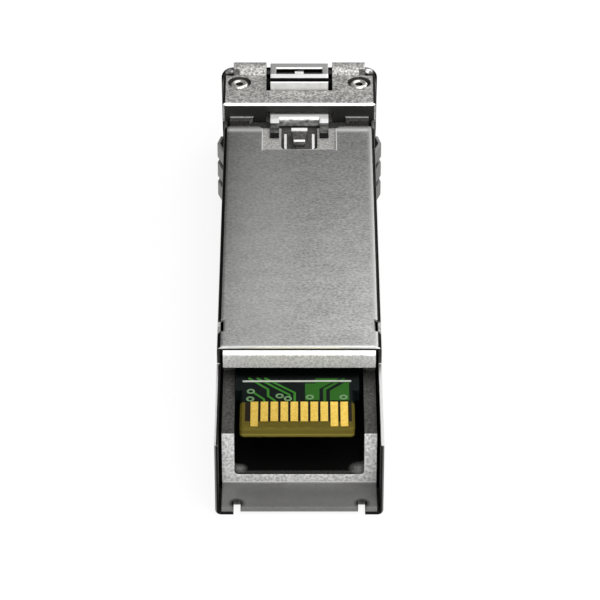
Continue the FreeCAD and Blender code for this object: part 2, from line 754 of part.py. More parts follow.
def make_bail_wire():
    """Wire bent to a loop whose two ends meet on the axle, drawn flat with the axle along X."""
    body = new_body("bail_wire")
    half = front_half + S.leg_gap + wire_radius
    low = -diagonal(leg_forward, leg_down)
    gap = S.slip
    path = sketch_on(body, "path", "XZ", 0)
    draw(path, [(gap, 0), (half, 0, S.bail_top_bend), (half, low, S.bail_low_bend),
                (-half, low, S.bail_low_bend), (-half, 0, S.bail_top_bend), (-gap, 0)], closed=False)
    section = sketch_on(body, "section", "YZ", gap)
    draw_circle(section, (0, 0), wire_radius)
    doc.recompute()
    pipe = body.newObject("PartDesign::AdditivePipe", "wire")
    pipe.Profile = section
    pipe.Spine = path
    doc.recompute()
    return body


def make_bail_cam():
    """Cam plate on the axle, drawn with its arm straight down."""
    body = new_body("bail_cam")
    half = S.cam_thickness / 2
    arm = S.cam_arm_width / 2
    extrude(body, "hub", "YZ", -half, half, circles=[((0, 0), S.cam_radius)])
    extrude(body, "arm", "YZ", -half, half, [rectangle(-arm, -S.cam_arm, arm, -wire_radius)])
    extrude(body, "tip", "YZ", -half, half, circles=[((0, -S.cam_arm), S.cam_tip_radius)])
    extrude(body, "bore", "YZ", -half - PAST, half + PAST,
            circles=[((0, 0), wire_radius + S.cam_play)], cut=True)
    return body


def make_screws():
    """Two countersunk-socket screws that hold the lid's nose to the tray."""
    pieces = []
    for name, side in (("left", -1), ("right", 1)):
        body = new_body(f"screw_{name}")
        place = (screw_x * side, screw_y)
        head_low = nose_top - S.screw_seat_depth
        head_top = nose_top - S.slip
        extrude(body, "head", "XY", head_low, head_top, circles=[(place, S.screw_head / 2)])
        extrude(body, "shank", "XY", parting_z - S.screw_depth, head_low + S.slip,
                circles=[(place, S.screw_shank / 2)])
        socket = S.screw_socket / 2
        extrude(body, "socket", "XY", head_low + S.screw_web, head_top + PAST,
                [rectangle(place[0] - socket, place[1] - socket, place[0] + socket, place[1] + socket)],
                cut=True)
        pieces.append(body)
    return group("nose_screws", pieces)


def make_board():
    """Glass-fibre board: narrow bevelled contact tongue, then the full width up to the optics."""
    body = new_body("circuit_board")
    centre = S.board_offset
    wide = tray_inner - S.board_side
    tongue = wide - S.tongue_step
    step_y = S.board_end + S.tongue_length
    bend = S.corner_round
    extrude(body, "board", "XY", board_bottom, board_top, [[
        (centre - tongue, S.board_end, bend), (centre + tongue, S.board_end, bend),
        (centre + tongue, step_y), (centre + wide, step_y), (centre + wide, board_far_y),
        (centre - wide, board_far_y), (centre - wide, step_y), (centre - tongue, step_y)]])
    dress(body, "Chamfer", "upper_bevel", S.board_bevel, y=S.board_end, z=board_top)
    dress(body, "Chamfer", "lower_bevel", S.board_bevel, y=S.board_end, z=board_bottom)
    return body


def make_contacts(label, z):
    """Row of gold pads; the first and the last two are the long ground pads."""
    pads = []
    count = SIZES["contact_count"]
    for index in range(count):
        margin = S.ground_margin if index in (0, count - 2, count - 1) else S.contact_margin
        left = S.contact_pitch * (index - (count - 1) / 2) - S.contact_width / 2
        pads.append(box(f"{label}_{index + 1}", left, S.board_end + margin, z, S.contact_width,
                        S.contact_reach - margin, S.contact_thickness))
    return group(label, pads)


def make_chip(label, x, y, z, width, length, height):
    """Square-edged package, centred on x."""
    return group(label, [box(label + "_block", x - width / 2, y, z, width, length, height)])


def make_chips():
    """Driver and amplifier on the latch side of the board, memory chip below, pad up to the lid."""
    under = board_bottom - S.memory_height
    driver_y = board_far_y - S.driver_setback
    return [
        make_chip("driver_chip", S.driver_x, driver_y, board_top,
                  S.driver_size, S.driver_size, S.chip_height),
        make_chip("amplifier_chip", S.amplifier_x, board_far_y - S.amplifier_setback, board_top,
                  S.amplifier_size, S.amplifier_size, S.chip_height),
        make_chip("memory_chip", size(0), board_far_y - S.memory_setback, under,
                  S.memory_width, S.memory_length, S.memory_height),
        make_chip("thermal_pad", S.driver_x, driver_y, chip_top,
                  S.driver_size, S.driver_size, roof_under - chip_top)]


def make_capacitors():
    """Two rows of chip capacitors across the board."""
    pieces = []
    columns = SIZES["capacitor_columns"]
    for row, y in enumerate((S.capacitor_near_y, board_far_y - S.capacitor_setback)):
        for column in range(columns):
            x = S.capacitor_pitch * (column - (columns - 1) / 2) - S.capacitor_width / 2
            pieces.append(box(f"capacitor_{row + 1}_{column + 1}", x, y, board_top, S.capacitor_width,
                              S.capacitor_length, S.capacitor_width))
    return group("board_capacitors", pieces)


def make_optics(name):
    """One optical subassembly: metal can, receptacle barrel, ceramic sleeve and flexible circuit."""
    can = new_body(f"{name}_can")
    header = can_back + S.can_header
    front = barrel_back - S.slip
    revolve(can, "turned", [(can_back, 0), (can_back, flange_radius),
                            (header, flange_radius), (header, S.can_radius),
                            (front, S.can_radius), (front, 0)])
    barrel = new_body(f"{name}_barrel")
    flange_end = barrel_flange_y + S.barrel_flange
    bore = sleeve_radius + S.slip / 2
    barrel_front = port_back + S.barrel_reach
    sleeve_front = barrel_front - S.sleeve_inset
    sleeve_back = sleeve_front - S.sleeve_length
    bore_back = sleeve_back - S.slip
    taper_y = nose_y - S.taper_setback
    taper_end = taper_y + S.barrel_taper
    revolve(barrel, "turned", [
        (barrel_back, 0), (barrel_back, S.barrel_neck_radius),
        (barrel_flange_y, S.barrel_neck_radius), (barrel_flange_y, flange_radius),
        (flange_end, flange_radius), (flange_end, S.barrel_neck_radius),
        (taper_y, S.barrel_neck_radius), (taper_end, S.barrel_tube_radius),
        (barrel_front, S.barrel_tube_radius), (barrel_front, bore), (bore_back, bore), (bore_back, 0)])
    sleeve = new_body(f"{name}_sleeve")
    revolve(sleeve, "turned", [
        (sleeve_back, S.ferrule_bore / 2), (sleeve_back, sleeve_radius),
        (sleeve_front, sleeve_radius), (sleeve_front, S.ferrule_bore / 2)])
    flex = new_body(f"{name}_flex")
    upright = can_back - S.slip
    lying = board_top + S.slip
    thick = S.flex_thickness
    far = board_far_y - S.flex_lap
    bend = S.corner_round
    low = S.flex_low - S.port_z
    low_face, high_face = lying - S.port_z, lying + thick - S.port_z
    extrude(flex, "strip", "YZ", -S.flex_width / 2, S.flex_width / 2, [[
        (upright, low), (upright, high_face, bend + thick), (far, high_face),
        (far, low_face), (upright - thick, low_face, bend), (upright - thick, low)]])
    return [can, barrel, sleeve, flex]


def make_clamp():
    """Upright plate on the tray's floor that holds the two barrels by their necks."""
    body = new_body("optics_clamp")
    half = tray_inner - S.clamp_side
    near = barrel_back + S.clamp_setback
    extrude(body, "plate", "XZ", near, near + S.clamp_thickness,
            [rectangle(-half, floor_top, half, roof_under - S.clamp_headroom, S.corner_round)],
            [((x, S.port_z), S.barrel_neck_radius + S.slip) for x in (-port_x, port_x)])
    return body


def place(piece, x=0, y=0, z=0, turn=None):
    """Move a finished piece to its place; a turn is about an axis along X."""
    if turn is not None:
        piece.Placement = Placement(Vector(), Rotation(Vector(1, 0, 0), turn.value))
        bind(piece, "Placement.Rotation.Angle", turn)
    bind(piece, "Placement.Base.x", x)
    bind(piece, "Placement.Base.y", y + shift_y)
    bind(piece, "Placement.Base.z", z)
    return piece


parts = [place(piece) for piece in (make_tray(), make_lid(), make_cover(), make_actuator(), make_board(),
                                    make_screws(), make_clamp())]
parts.append(place(make_contacts("upper_contacts", board_top)))
parts.append(place(make_contacts("lower_contacts", board_bottom - S.contact_thickness)))
parts.append(place(make_capacitors()))
parts.extend(place(chip) for chip in make_chips())
for name, side in (("transmitter", -1), ("receiver", 1)):
    parts.extend(place(piece, x=port_x * side, z=S.port_z) for piece in make_optics(name))
parts.append(place(make_bail_wire(), y=axle_y, z=axle_z, turn=slope(leg_forward, leg_down)))
parts.append(place(make_bail_cam(), y=axle_y, z=axle_z, turn=S.cam_angle))
doc.recompute()

failed = [thing.Label for thing in doc.Objects if "Invalid" in thing.State or "Error" in thing.State]
failed += [part.Label for part in parts if part.Shape.isNull() or not part.Shape.isValid()]
if failed:
    raise RuntimeError("not built: " + ", ".join(failed))
os.makedirs("parts", exist_ok=True)
for part in parts:
    part.Shape.exportStep(f"parts/{part.Label}.step")
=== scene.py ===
import math

import bmesh
import bpy
from mathutils import Matrix, Vector


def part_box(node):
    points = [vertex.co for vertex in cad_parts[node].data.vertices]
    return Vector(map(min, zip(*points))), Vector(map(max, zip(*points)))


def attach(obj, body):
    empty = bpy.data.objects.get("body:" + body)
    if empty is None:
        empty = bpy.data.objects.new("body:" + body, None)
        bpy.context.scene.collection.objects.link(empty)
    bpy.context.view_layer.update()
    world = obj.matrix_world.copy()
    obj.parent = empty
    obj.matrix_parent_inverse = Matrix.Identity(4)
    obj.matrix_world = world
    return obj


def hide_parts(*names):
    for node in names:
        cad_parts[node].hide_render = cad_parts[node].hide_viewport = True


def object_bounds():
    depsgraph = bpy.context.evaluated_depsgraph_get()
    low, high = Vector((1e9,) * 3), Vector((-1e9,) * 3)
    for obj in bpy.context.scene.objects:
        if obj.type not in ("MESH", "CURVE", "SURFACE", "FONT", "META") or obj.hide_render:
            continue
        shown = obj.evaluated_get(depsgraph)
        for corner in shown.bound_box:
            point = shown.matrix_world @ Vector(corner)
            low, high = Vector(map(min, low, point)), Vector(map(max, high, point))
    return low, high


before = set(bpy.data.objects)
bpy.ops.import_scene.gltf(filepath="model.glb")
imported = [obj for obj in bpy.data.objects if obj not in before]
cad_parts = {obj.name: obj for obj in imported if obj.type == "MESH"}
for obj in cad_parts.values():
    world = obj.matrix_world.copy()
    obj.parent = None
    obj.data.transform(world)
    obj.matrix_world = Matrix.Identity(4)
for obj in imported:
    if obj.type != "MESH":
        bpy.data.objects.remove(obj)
cad_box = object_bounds()
mm = 0.001


# Tray housing: the lower half of the shell, with the side walls, the rear tongue and the port block.
# It is die-cast zinc, left as it came from the tumbler: a pale, fine-grained skin with soft edges.
# Every other piece drops into it from above.

class Wire:
    """An output socket in a material's tree, on which sums are written as plain Python."""

    def __init__(self, tree, socket=None):
        self.tree = tree
        self.socket = socket

    def node(self, kind, settings, sockets, output=0):
        """Adds a node: its settings first, then its sockets' values or links. Gives one output."""
        node = self.tree.nodes.new(kind)
        for name, value in settings.items():
            setattr(node, name, value)
        for name, value in sockets.items():
            if isinstance(value, Wire):
                self.tree.links.new(value.socket, node.inputs[name])
            else:
                node.inputs[name].default_value = value
        return Wire(self.tree, node.outputs[output])

    def maths(self, operation, first, second):
        return self.node("ShaderNodeMath", {"operation": operation}, {0: first, 1: second})

    def __add__(self, other):
        return self.maths("ADD", self, other)

    def __radd__(self, other):
        return self.maths("ADD", other, self)

    def __sub__(self, other):
        return self.maths("SUBTRACT", self, other)

    def __rsub__(self, other):
        return self.maths("SUBTRACT", other, self)

    def __mul__(self, other):
        return self.maths("MULTIPLY", self, other)

    def __rmul__(self, other):
        return self.maths("MULTIPLY", other, self)

    def __gt__(self, other):
        return self.maths("GREATER_THAN", self, other)

    def __lt__(self, other):
        return self.maths("LESS_THAN", self, other)

    def __abs__(self):
        return self.node("ShaderNodeMath", {"operation": "ABSOLUTE"}, {0: self})


class Finish:
    """A material for one of the object's finishes, with its shader's constants set on the sockets."""

    def __init__(self, name, **constants):
        self.material = bpy.data.materials.new(name)
        self.material.use_nodes = True
        self.tree = self.material.node_tree
        self.shader = self.tree.nodes["Principled BSDF"]
        self.wire = Wire(self.tree)
        for words, value in constants.items():
            self.shader.inputs[words.replace("_", " ")].default_value = value

    def feed(self, socket, wire):
        self.tree.links.new(wire.socket, self.shader.inputs[socket])

    def place(self):
        """Where a point of the piece is, in metres in the frame."""
        return self.wire.node("ShaderNodeTexCoord", {}, {}, "Object")

    def along(self, axis):
        """How far a point of the piece lies along one axis of the frame."""
        return self.wire.node("ShaderNodeSeparateXYZ", {}, {0: self.place()}, axis)

    def grain(self, length, width, height, detail=2.0):
        """Noise from 0 to 1 whose grains have these sizes along X, Y and Z."""
        stretched = self.wire.node(
            "ShaderNodeMapping", {},
            {"Vector": self.place(), "Scale": (1 / length, 1 / width, 1 / height)})
        return self.wire.node(
            "ShaderNodeTexNoise", {}, {"Vector": stretched, "Scale": 1.0, "Detail": detail}, "Fac")

    def blend(self, share, first, second):
        """The colour first where share is 0 and second where it is 1."""
        factor, colour_a, colour_b, result = 0, 6, 7, 2
        return self.wire.node(
            "ShaderNodeMix", {"data_type": "RGBA"},
            {factor: share, colour_a: first, colour_b: second}, result)

    def spread(self, value, low, high):
        """The value drawn out so that low becomes 0 and high becomes 1, and held there."""
        return self.wire.node(
            "ShaderNodeMapRange", {},
            {"Value": value, "From Min": low, "From Max": high})

    def within(self, low, high, both_sides=False):
        """1 inside the box between two corners, or in its twin on the left as well, and 0 elsewhere."""
        share = 1
        for axis, start, end in zip("XYZ", low, high):
            along = self.along(axis)
            if both_sides and axis == "X":
                along = abs(along)
            share = share * (along > start) * (along < end)
        return share

    def paint(self, skin, areas, both_sides=False):
        """The skin, with each area's own skin in that area's box. Later areas lie over earlier ones."""
        for low, high, own_skin in areas.values():
            skin = self.blend(self.within(low, high, both_sides), skin, own_skin)
        return skin

    def near(self, point, reach):
        """1 at a point, fading to 0 at this distance from it."""
        distance = self.wire.node(
            "ShaderNodeVectorMath", {"operation": "DISTANCE"}, {0: self.place(), 1: point}, "Value")
        return self.spread(distance, reach, 0.0)

    def soft_edges(self, radius):
        """Normals that turn over each edge as if it were rounded off by that radius."""
        return self.wire.node("ShaderNodeBevel", {"samples": 8}, {"Radius": radius}, "Normal")

    def roughen(self, height, depth, edge_radius):
        """Lets a height from 0 to 1 stand for bumps of that depth, on a piece with soft edges."""
        self.feed("Normal", self.wire.node(
            "ShaderNodeBump", {},
            {"Height": height, "Distance": depth, "Normal": self.soft_edges(edge_radius)}))


def colour(red, green, blue):
    """A shader's colour from the 0 to 255 levels that it should show on a screen."""
    levels = [level / 255 for level in (red, green, blue)]
    linear = [x / 12.92 if x <= 0.04045 else ((x + 0.055) / 1.055) ** 2.4 for x in levels]
    return (*linear, 1.0)


def at(x, y, z):
    """A place in the frame from its millimetres across, forward of the rear end and up."""
    return Vector((x * mm, cad_box[0][1] + y * mm, z * mm))


def dress(finish, *nodes):
    """Gives CAD nodes their finish."""
    for node in nodes:
        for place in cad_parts[node].material_slots:
            place.material = finish.material


cast_zinc = Finish("cast_zinc", Metallic=1.0, Specular_Tint=colour(150, 150, 150))
cast_grain = cast_zinc.grain(0.2 * mm, 0.2 * mm, 0.2 * mm)
cast_cloud = cast_zinc.grain(1.6 * mm, 1.6 * mm, 1.6 * mm)
cast_speckle = cast_zinc.spread(0.88 * cast_grain + 0.12 * cast_cloud, 0.34, 0.66)
cast_skin = cast_zinc.blend(cast_speckle, colour(142, 141, 139), colour(194, 193, 190))
coarse_skin = cast_zinc.blend(cast_speckle, colour(126, 125, 123), colour(212, 211, 208))
# Lighter and darker copies of the cast skin, used as painted light on faces that catch the light and as
# painted shade on faces in shadow.
lit_skin = cast_zinc.blend(cast_speckle, colour(198, 198, 197), colour(252, 252, 251))
lit_face_skin = cast_zinc.blend(cast_speckle, colour(208, 208, 207), colour(248, 248, 247))
shaded_skin = cast_zinc.blend(cast_speckle, colour(78, 78, 76), colour(108, 107, 104))
smooth_skin = cast_zinc.blend(cast_cloud, colour(138, 138, 136), colour(158, 158, 156))
# The tongue is painted darker towards the end face, as painted shade beneath it.
root_shade = cast_zinc.spread(cast_zinc.along("Y"), at(0, 0.9, 0).y, at(0, 3.1, 0).y)
smooth_skin = cast_zinc.blend(0.72 * root_shade, smooth_skin, colour(104, 104, 102))
# A lighter copy of the skin, painted light for the floor of the cut-out.
lit_floor_skin = cast_zinc.blend(cast_speckle, colour(158, 157, 155), colour(210, 209, 206))
# White for painted highlights on edges, crests and the wire's bends; near black and dark grey for
# painted shade.
highlight_white = colour(250, 250, 249)
unlit = colour(30, 30, 30)
edge_shade = colour(48, 48, 47)
# Painted light and shade by place: the end face and the shoulder bar's face are painted lit, with
# painted highlight lines along the edges, on the ramp and on the crest; the cavity, the wall tops, the
# shoulder bar's foot and top, the nose's foot, the ledges, the groove and the boss's pocket, base and
# ramp are painted in shade.
cast_areas = {
    "rear end face": (at(-6.3, 3.1, 0.76), at(6.3, 3.2, 5.7), lit_skin),
    "foot of the end face": (at(-6.3, 3.1, 0.74), at(6.3, 3.2, 0.83), colour(146, 146, 144)),
    "highlight line over the foot": (at(-6.3, 3.1, 0.83), at(6.3, 3.2, 0.92), highlight_white),
    "rear tongue": (at(-6.3, -0.1, -0.1), at(6.3, 3.1, 0.76), smooth_skin),
    "near end of the tongue": (at(-6.3, -0.1, -0.1), at(6.3, 0.02, 0.76), colour(126, 126, 124)),
    "mouth of the cavity": (at(-5.21, 3.2, 1.58), at(5.21, 3.7, 5.6), shaded_skin),
    "cavity under the board": (at(-5.21, 3.7, 1.58), at(5.21, 46, 5.6), unlit),
    "tops of the rear walls": (at(-6.3, 3.2, 5.6), at(6.3, 12, 5.7), shaded_skin),
    "face of the shoulder bar": (at(-6.3, 10.7, 6.7), at(6.3, 10.9, 8.01), lit_face_skin),
    "foot of the shoulder bar": (at(-6.3, 10.7, 6.5), at(6.3, 12.2, 6.7), unlit),
    "edge of the shoulder bar": (at(-6.3, 10.7, 8.01), at(6.3, 11.1, 8.3), highlight_white),
    "top of the shoulder bar": (at(-6.3, 11.1, 8.1), at(6.3, 11.5, 8.3), shaded_skin),
    "top of the nose": (at(-6.9, 47.5, 9.3), at(6.9, 55, 10.5), coarse_skin),
    "foot of the nose": (at(-6.9, 47.4, 6.0), at(6.9, 47.6, 9.31), colour(58, 58, 56)),
    "edge of the nose": (at(-6.9, 47.45, 9.31), at(6.9, 47.74, 9.49), highlight_white),
    "faces of the ledges": (at(-6.3, 46.8, 7.5), at(6.3, 46.95, 8.15), shaded_skin),
    "tops of the ledges": (at(-6.3, 46.8, 8.12), at(6.3, 47.5, 8.25), shaded_skin),
    "far edges of the ledges": (at(-6.3, 47.28, 8.15), at(6.3, 47.5, 8.25), lit_skin),
    "floor of the cut-out": (at(-3.3, 41.2, 8.15), at(3.3, 45.4, 8.25), lit_floor_skin),
    "cross groove": (at(-6.3, 45.4, 7.5), at(6.3, 47.5, 7.7), shaded_skin),
    "pocket of the boss": (at(-1.61, 42, 7.5), at(1.61, 45.5, 7.98), shaded_skin),
    "base of the boss": (at(-1.12, 42, 7.98), at(1.12, 45.5, 8.02), shaded_skin),
    "ramp of the boss": (at(-0.73, 42.4, 8.05), at(0.73, 44.2, 8.76), shaded_skin),
    "highlight line on the ramp": (at(-0.5, 42.8, 8.2), at(0.5, 43.05, 8.76), highlight_white),
    "crest of the boss": (at(-0.73, 44.15, 8.7), at(0.73, 44.7, 8.9), highlight_white),
}
# Painted shade on the nose's side edges, the knuckles' ends, the slots and the screws' seats, and
# painted highlights on the rims of the boss's base.
cast_side_areas = {
    "side edges of the nose": (at(6.62, 47.74, 9.2), at(6.9, 52.6, 9.6), edge_shade),
    "knuckles' ends": (at(5.4, 52.6, 8.9), at(6, 54.6, 9.95), shaded_skin),
    "slots beside the actuator": (at(2.6, 49.8, 7), at(2.99, 55.4, 9.47), unlit),
    "screws' seats": (at(4.3, 50.2, 8), at(6.5, 52.4, 9.47), shaded_skin),
    "rims of the boss's base": (at(1.12, 42, 7.98), at(1.37, 45.5, 8.02), highlight_white),
}
cast_skin = cast_zinc.paint(cast_skin, cast_areas)
cast_skin = cast_zinc.paint(cast_skin, cast_side_areas, both_sides=True)
# A painted glow in each lower corner of the cavity's mouth.
for corner, reach in ((at(-4.8, 4.0, 1.6), 0.7 * mm), (at(4.9, 4.0, 1.6), 1.0 * mm)):
    cast_skin = cast_zinc.blend(0.8 * cast_zinc.near(corner, reach), cast_skin, lit_skin)
for notch in (at(-5.0, 0.5, 0.7), at(5.0, 0.5, 0.7)):
    notch_shade = cast_zinc.spread(cast_zinc.near(notch, 0.72 * mm), 0.0, 0.5)
    cast_skin = cast_zinc.blend(notch_shade, cast_skin, unlit)
cast_zinc.feed("Base Color", cast_skin)
cast_zinc.feed("Roughness", 0.74 - 0.14 * cast_speckle)
cast_zinc.roughen(cast_grain, 0.010 * mm, 0.07 * mm)
dress(cast_zinc, "tray_housing")


# Optics: a laser can and a detector can with their lens barrels, and the split sleeves that guide the
# two fibre ferrules. The cans are gold-plated, the barrels turned stainless steel, and the sleeves
# white zirconia. A pressed steel clamp holds both barrels down in the tray.

can_gold = Finish("can_gold", Base_Color=colour(214, 178, 98), Metallic=1.0, Roughness=0.32)
dress(can_gold, "transmitter_can", "receiver_can")

turned_steel = Finish("turned_steel", Metallic=1.0, Roughness=0.3)
turning_marks = turned_steel.grain(4.0 * mm, 0.05 * mm, 4.0 * mm)
turned_steel.feed("Base Color", turned_steel.blend(
    turning_marks, colour(168, 168, 168), colour(206, 206, 205)))
dress(turned_steel, "transmitter_barrel", "receiver_barrel")

zirconia = Finish("zirconia", Base_Color=colour(232, 230, 222), Roughness=0.25, Coat_Weight=0.3)
dress(zirconia, "transmitter_sleeve", "receiver_sleeve")

flex_film = Finish("flex_film", Base_Color=colour(176, 104, 36), Roughness=0.35)
dress(flex_film, "transmitter_flex", "receiver_flex")

clamp_steel = Finish("clamp_steel", Base_Color=colour(186, 186, 184), Metallic=1.0, Roughness=0.36)
dress(clamp_steel, "optics_clamp")


# Circuit board: glass-epoxy laminate under dark solder mask, which stops short of the contact tongue.
# Past it the bare laminate shows, olive and translucent at the cut edges.

board_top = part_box("circuit_board")[1].z
bare_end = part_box("upper_contacts")[1].y - 0.05 * mm
gap_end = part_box("upper_contacts")[0].y + 0.7 * mm
gap_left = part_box("upper_contacts")[0].x - 0.44 * mm
gap_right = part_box("upper_contacts")[1].x + 0.3 * mm

board_finish = Finish("board", Roughness=0.32, Specular_IOR_Level=0.025)
weave = board_finish.grain(0.5 * mm, 0.12 * mm, 0.12 * mm)
laminate = board_finish.blend(weave, colour(62, 54, 16), colour(98, 88, 32))
pad_gaps = board_finish.within((gap_left, gap_end, 0), (gap_right, bare_end, board_top + mm))
mask = board_finish.within((-1, bare_end, 0), (1, 1, 1))
# The mask is painted near black where the shoulder bar shades it.
bar_shadow = board_finish.within(at(-6, 9.95, 5), at(6, 40, 7))
mask_tint = board_finish.blend(weave, colour(4, 9, 10), colour(12, 20, 18))
mask_tint = board_finish.blend(bar_shadow, mask_tint, colour(2, 3, 3))
bare_tint = board_finish.blend(pad_gaps, laminate, colour(30, 24, 16))
# The board's cut end, with a painted highlight line along it.
cut_end = board_finish.within(at(-6, 3, 5), at(6, 3.2, 6.2))
lit_edge_line = board_finish.within(at(-6, 3, 5.56), at(6, 3.2, 5.68))
bare_tint = board_finish.blend(cut_end, bare_tint, colour(84, 76, 28))
bare_tint = board_finish.blend(lit_edge_line, bare_tint, colour(112, 104, 50))
board_finish.feed("Base Color", board_finish.blend(mask, bare_tint, mask_tint))
dress(board_finish, "circuit_board")


# Printed layers on the board: copper tracks and pours, seen as paler green under the mask, rings of
# copper round the vias, and one white silk-screened line. Each is a few hundredths of a millimetre
# thick.

track_height = 0.02 * mm


def on_board(x, y):
    """A point on the board's upper side, from its millimetres across and forward of the rear end."""
    return at(x, y, board_top / mm)


def board_piece(name, shape, finish):
    """Turns a finished shape on the board into a piece."""
    mesh = bpy.data.meshes.new(name)
    shape.to_mesh(mesh)
    shape.free()
    mesh.materials.append(finish.material)
    piece = bpy.data.objects.new(name, mesh)
    bpy.context.collection.objects.link(piece)
    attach(piece, "module")


def add_track(shape, points, width):
    """A flat copper track through these points, round at its knees and ends."""
    for start, end in zip(points, points[1:]):
        run = end - start
        turn = Matrix.Rotation(math.atan2(run.y, run.x), 4, "Z")
        size = Matrix.Diagonal((run.length, width, 2 * track_height, 1))
        bmesh.ops.create_cube(
            shape, size=1, matrix=Matrix.Translation((start + end) / 2) @ turn @ size)
    for point in points:
        bmesh.ops.create_cone(
            shape, cap_ends=True, segments=16, radius1=width / 2, radius2=width / 2,
            depth=1.9 * track_height, matrix=Matrix.Translation(point))


def add_pour(shape, points):
    """A flat area of copper with these corners."""
    face = shape.faces.new([shape.verts.new(point) for point in points])
    raised = bmesh.ops.extrude_face_region(shape, geom=[face])
    bmesh.ops.translate(
        shape, vec=(0, 0, track_height),
        verts=[part for part in raised["geom"] if isinstance(part, bmesh.types.BMVert)])
    bmesh.ops.recalc_face_normals(shape, faces=shape.faces)


track_green = Finish(
    "track_green", Base_Color=colour(46, 106, 32), Roughness=0.35, Specular_IOR_Level=0.05)
tracks = bmesh.new()
track_width = 0.2 * mm
for corners in (
        [(-3.73, 7.98), (-2.88, 7.07), (-2.78, 6.67)],
        [(-4.05, 9.9), (-2.52, 8.39), (-2.51, 7.47), (-1.97, 6.84), (-1.95, 6.67)],
        [(-3.37, 9.9), (-0.80, 7.64), (-0.80, 7.35)],
        [(-2.75, 9.9), (-0.37, 7.93), (-0.37, 6.67)]):
    add_track(tracks, [on_board(*corner) for corner in corners], track_width)
board_piece("board_tracks", tracks, track_green)

pour_green = Finish(
    "pour_green", Base_Color=colour(34, 84, 20), Roughness=0.4, Specular_IOR_Level=0.05)
pours = bmesh.new()
for corners in (
        [(0.47, 9.2), (0.47, 6.9), (1.62, 6.9), (1.62, 8.45), (3.22, 9.9), (1.3, 9.9), (1.3, 9.2)],
        [(1.92, 8.5), (1.92, 6.7), (2.17, 6.7), (2.17, 8.32), (3.75, 9.9), (3.5, 9.9)],
        [(2.47, 8.2), (2.47, 6.9), (4.02, 6.9), (4.02, 9.67)]):
    add_pour(pours, [on_board(*corner) for corner in corners])
board_piece("board_pours", pours, pour_green)

via_copper = Finish("via_copper", Base_Color=colour(94, 130, 84), Metallic=0.5, Roughness=0.35)
vias = bmesh.new()
hole_radius = 0.17 * mm
ring_radius = 0.33 * mm
ring_height = 1.6 * track_height
for centre in (
        (-3.91, 8.10), (-3.95, 7.05), (-1.59, 7.47), (-0.92, 7.10), (0.85, 7.30), (3.56, 7.30)):
    middle = on_board(*centre)
    section = [
        vias.verts.new(middle + Vector((radius, 0, height)))
        for radius, height in (
            (hole_radius, 0.0), (ring_radius, 0.0),
            (ring_radius, ring_height), (hole_radius, ring_height))]
    ring = [vias.edges.new((section[i - 1], section[i])) for i in range(len(section))]
    bmesh.ops.spin(
        vias, geom=section + ring, cent=middle, axis=(0, 0, 1), angle=math.tau, steps=24,
        use_merge=True)
bmesh.ops.recalc_face_normals(vias, faces=vias.faces)
board_piece("board_vias", vias, via_copper)

silk_white = Finish("silk_white", Base_Color=colour(168, 172, 162), Roughness=0.6)
silk = bmesh.new()
silk_width = 0.2 * mm
silk_lift = Vector((0, 0, 0.5 * track_height))
add_track(silk, [on_board(-4.5, 9.5) + silk_lift, on_board(4.12, 9.54) + silk_lift], silk_width)
board_piece("board_silk_line", silk, silk_white)


# Contacts: ten pads on each side of the tongue, copper with nickel and hard gold plated on it.
# They stand a few hundredths of a millimetre above the laminate.

hard_gold = Finish("hard_gold", Metallic=1.0, Roughness=0.36)
plating = hard_gold.grain(0.12 * mm, 0.12 * mm, 0.12 * mm)
hard_gold.feed("Base Color", hard_gold.blend(
    hard_gold.spread(plating, 0.3, 0.7), colour(226, 182, 66), colour(250, 220, 112)))
dress(hard_gold, "upper_contacts", "lower_contacts")


# Parts on the board: three moulded chips, tin-ended ceramic capacitors, and the soft pad that takes
# the driver's heat to the lid.

moulded_epoxy = Finish("moulded_epoxy", Base_Color=colour(38, 38, 40), Roughness=0.55)
dress(moulded_epoxy, "driver_chip", "amplifier_chip", "memory_chip")

ceramic = Finish("ceramic", Base_Color=colour(158, 128, 96), Roughness=0.5)
dress(ceramic, "board_capacitors")

soft_pad = Finish("soft_pad", Base_Color=colour(150, 158, 168), Roughness=0.8)
dress(soft_pad, "thermal_pad")


# Latch housing: the lid, cast like the tray, with the shoulder bar over the board, the boss that
# locks into the cage, the bridge of the nose and the bail's knuckles.

dress(cast_zinc, "latch_housing")


# Bail: a bent stainless wire that turns in the knuckles, with a pressed cam on its axle that
# pushes the latch actuator.

drawn_wire = Finish("drawn_wire", Metallic=1.0, Roughness=0.2, Specular_Tint=colour(60, 60, 60))
drawing_marks = drawn_wire.grain(0.3 * mm, 0.3 * mm, 0.3 * mm)
drawn_skin = drawn_wire.blend(drawing_marks, colour(120, 120, 119), colour(150, 150, 148))
# The axle is painted in shade inside the slot, and each bend is painted darker as shade round a painted
# highlight spot.
axle = drawn_wire.within(at(-3.2, 52.9, 8.6), at(3.2, 54.1, 9.8))
drawn_skin = drawn_wire.blend(axle, drawn_skin, unlit)
for bend in (at(-6.4, 53.3, 9.7), at(6.4, 53.3, 9.7)):
    bend_shade = drawn_wire.spread(drawn_wire.near(bend, 1.7 * mm), 0.0, 0.4)
    drawn_skin = drawn_wire.blend(bend_shade, drawn_skin, edge_shade)
    drawn_skin = drawn_wire.blend(drawn_wire.near(bend, 0.5 * mm), drawn_skin, highlight_white)
drawn_wire.feed("Base Color", drawn_skin)
dress(drawn_wire, "bail_wire")

cam_steel = Finish("cam_steel", Base_Color=colour(250, 250, 248), Metallic=1.0, Roughness=0.45)
dress(cam_steel, "bail_cam")


# Latch actuator: a stamped stainless slide with a window frame in the nose and two tines beside
# the boss. It is smooth, brighter than the castings, and its edges catch the light.

